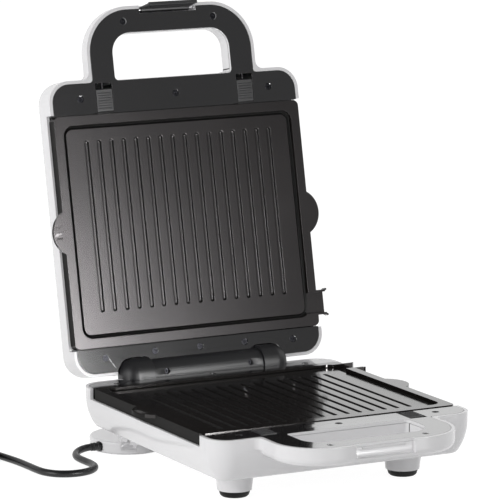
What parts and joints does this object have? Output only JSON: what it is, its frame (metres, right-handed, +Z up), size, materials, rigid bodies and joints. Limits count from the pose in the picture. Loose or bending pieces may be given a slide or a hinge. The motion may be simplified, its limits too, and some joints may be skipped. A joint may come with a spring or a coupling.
{
  "type": "sandwich toaster",
  "caption": "Countertop sandwich toaster with a hinged lid, grooved non-stick grill plates with a drip spout, loop handles, closing clip and cord.",
  "frame": {"origin": "on the floor under the middle of the appliance's outline, with the lid open as in the picture and without the mains cord", "axes": "+X to the appliance's right seen from its handle side, +Y to the rear where the hinge is, +Z up"},
  "size_m": [0.421, 0.4663, 0.3934],
  "materials": {
    "white_plastic": "glossy",
    "black_plastic": "satin",
    "non_stick": "glossy dark non-stick coating",
    "element_steel": "oxidised",
    "bright_steel": "bright",
    "dark_steel": "blackened",
    "tray_metal": "mill finish",
    "pad_rubber": "matt",
    "terminal_ceramic": "glazed",
    "sleeve": "woven glass sleeve look",
    "lens_red": "clear glossy",
    "board": "satin",
    "cord_rubber": "satin",
    "tie_plastic": "satin",
    "plug_plastic": "satin"
  },
  "bodies": {
    "base": {"base_shell": "white_plastic", "base_frame": "black_plastic", "lower_plate": "non_stick", "lower_heater": "element_steel", "lower_heater_clips": "bright_steel", "lower_reflector": "tray_metal", "base_latch_springs": "bright_steel", "base_frame_screws": "dark_steel", "front_feet": "white_plastic", "foot_pads": "pad_rubber", "rear_foot_left": "white_plastic", "rear_foot_right": "white_plastic", "rear_foot_screws": "bright_steel", "terminal_block": "terminal_ceramic", "base_lead": "sleeve", "inner_cord": "cord_rubber", "strain_relief": "cord_rubber", "cord_run": "cord_rubber", "cord_coil": "cord_rubber", "cord_tail": "cord_rubber", "cord_tie": "tie_plastic", "mains_plug": "plug_plastic"},
    "lid": {"lid_shell": "white_plastic", "lid_frame": "black_plastic", "upper_plate": "non_stick", "upper_heater": "element_steel", "upper_heater_clips": "bright_steel", "upper_reflector": "tray_metal", "lid_latch_springs": "bright_steel", "lid_frame_screws": "dark_steel", "hinge_bush": "bright_steel", "hinge_pin": "bright_steel", "hinge_barrel": "black_plastic", "barrel_screws": "dark_steel", "thermostat": "terminal_ceramic", "thermal_fuse": "terminal_ceramic", "indicator_lenses": "lens_red", "lamp_holder": "board", "lid_lead": "sleeve", "clip_pin": "bright_steel"},
    "base_latch_left_body": {"base_latch_left": "black_plastic"},
    "base_latch_right_body": {"base_latch_right": "black_plastic"},
    "lid_latch_left_body": {"lid_latch_left": "black_plastic"},
    "lid_latch_right_body": {"lid_latch_right": "black_plastic"},
    "clip": {"closing_clip": "black_plastic"}
  },
  "joints": [
    {"name": "lid_hinge", "type": "hinge", "parent": "base", "child": "lid", "pos_m": [0, 0.12151, 0.062], "axis": [1, 0, 0], "range_deg": [0, 102]},
    {"name": "base_latch_left_slide", "type": "slide", "parent": "base", "child": "base_latch_left_body", "axis": [0, -1, 0], "range_m": [0, 0.004], "stiffness_N_per_m": 400, "springref_m": -0.002},
    {"name": "base_latch_right_slide", "type": "slide", "parent": "base", "child": "base_latch_right_body", "axis": [0, -1, 0], "range_m": [0, 0.004], "stiffness_N_per_m": 400, "springref_m": -0.002},
    {"name": "lid_latch_left_slide", "type": "slide", "parent": "lid", "child": "lid_latch_left_body", "axis": [0, 0.2079, 0.9781], "range_m": [0, 0.004], "stiffness_N_per_m": 400, "springref_m": -0.002},
    {"name": "lid_latch_right_slide", "type": "slide", "parent": "lid", "child": "lid_latch_right_body", "axis": [0, 0.2079, 0.9781], "range_m": [0, 0.004], "stiffness_N_per_m": 400, "springref_m": -0.002},
    {"name": "clip_hinge", "type": "hinge", "parent": "lid", "child": "clip", "pos_m": [0, 0.19768, 0.38431], "axis": [1, 0, 0], "range_deg": [-25, 5]}
  ]
}
